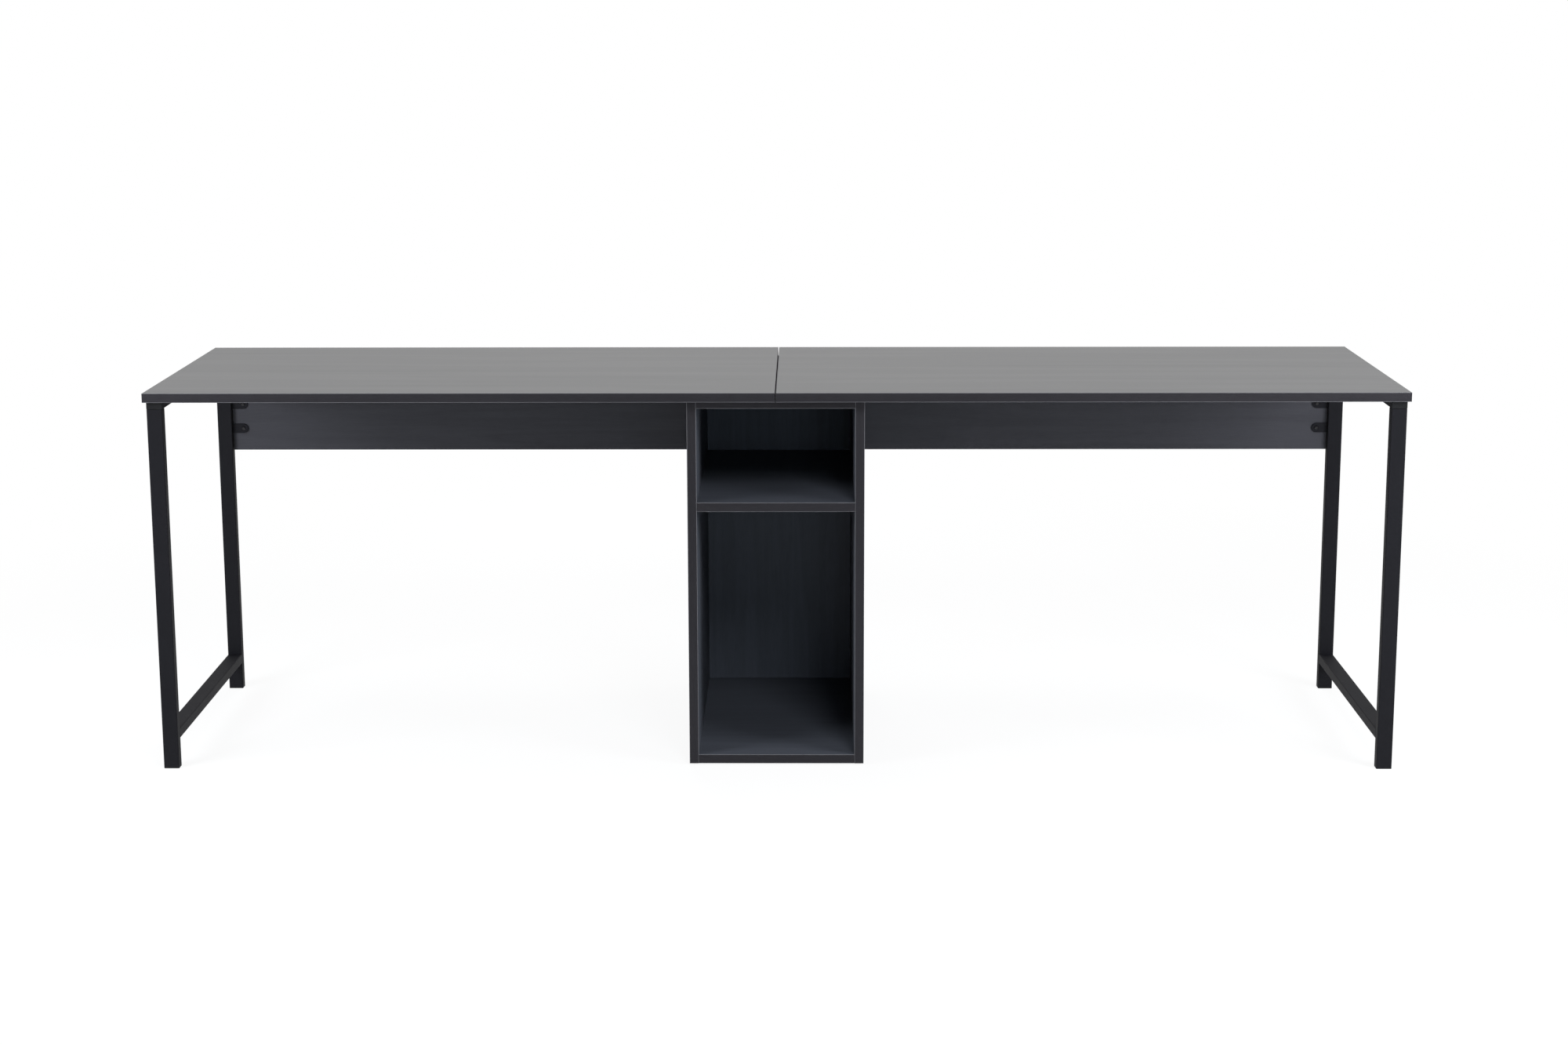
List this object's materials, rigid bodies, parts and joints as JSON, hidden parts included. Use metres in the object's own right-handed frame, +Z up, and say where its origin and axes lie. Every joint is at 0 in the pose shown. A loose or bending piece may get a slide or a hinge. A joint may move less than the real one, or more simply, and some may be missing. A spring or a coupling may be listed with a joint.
{
  "type": "double desk",
  "caption": "Long double desk with two dark grey worktops, an open two-bay shelf unit between the seats, back panels and black steel end frames.",
  "frame": {"origin": "on the floor under the middle of the desk", "axes": "+X along the desk to the sitter's right, +Y from the sitters to the back, +Z up"},
  "size_m": [2.4, 0.6, 0.743],
  "materials": {
    "grey_board": "satin dark grey melamine",
    "board_edging": "satin dark grey",
    "frame_steel": "black powder coat",
    "black_plastic": "matte black",
    "zinc_steel": "zinc plated",
    "dowel_wood": "bare beech"
  },
  "bodies": {
    "root": {"left_back_panel": "grey_board", "left_back_panel_cam_bolts": "zinc_steel", "left_back_panel_cams": "zinc_steel", "left_back_panel_dowels": "dowel_wood", "left_back_panel_edging": "board_edging", "left_bottom_rail": "frame_steel", "left_foot_plugs": "black_plastic", "left_front_leg": "frame_steel", "left_panel_tabs": "frame_steel", "left_rear_leg": "frame_steel", "left_tab_screws": "zinc_steel", "left_top_rail": "frame_steel", "left_top_rail_plugs": "black_plastic", "left_top_rail_screws": "zinc_steel", "left_unit_side": "grey_board", "left_unit_side_edging": "board_edging", "left_worktop": "grey_board", "left_worktop_edging": "board_edging", "right_back_panel": "grey_board", "right_back_panel_cam_bolts": "zinc_steel", "right_back_panel_cams": "zinc_steel", "right_back_panel_dowels": "dowel_wood", "right_back_panel_edging": "board_edging", "right_bottom_rail": "frame_steel", "right_foot_plugs": "black_plastic", "right_front_leg": "frame_steel", "right_panel_tabs": "frame_steel", "right_rear_leg": "frame_steel", "right_tab_screws": "zinc_steel", "right_top_rail": "frame_steel", "right_top_rail_plugs": "black_plastic", "right_top_rail_screws": "zinc_steel", "right_unit_side": "grey_board", "right_unit_side_edging": "board_edging", "right_worktop": "grey_board", "right_worktop_edging": "board_edging", "unit_back": "grey_board", "unit_bottom": "grey_board", "unit_cam_bolts": "zinc_steel", "unit_cams": "zinc_steel", "unit_dowels": "dowel_wood", "unit_glides": "black_plastic", "unit_level_edging": "board_edging", "unit_shelf": "grey_board", "unit_to_worktop_screws": "zinc_steel", "unit_top": "grey_board"}
  },
  "joints": []
}
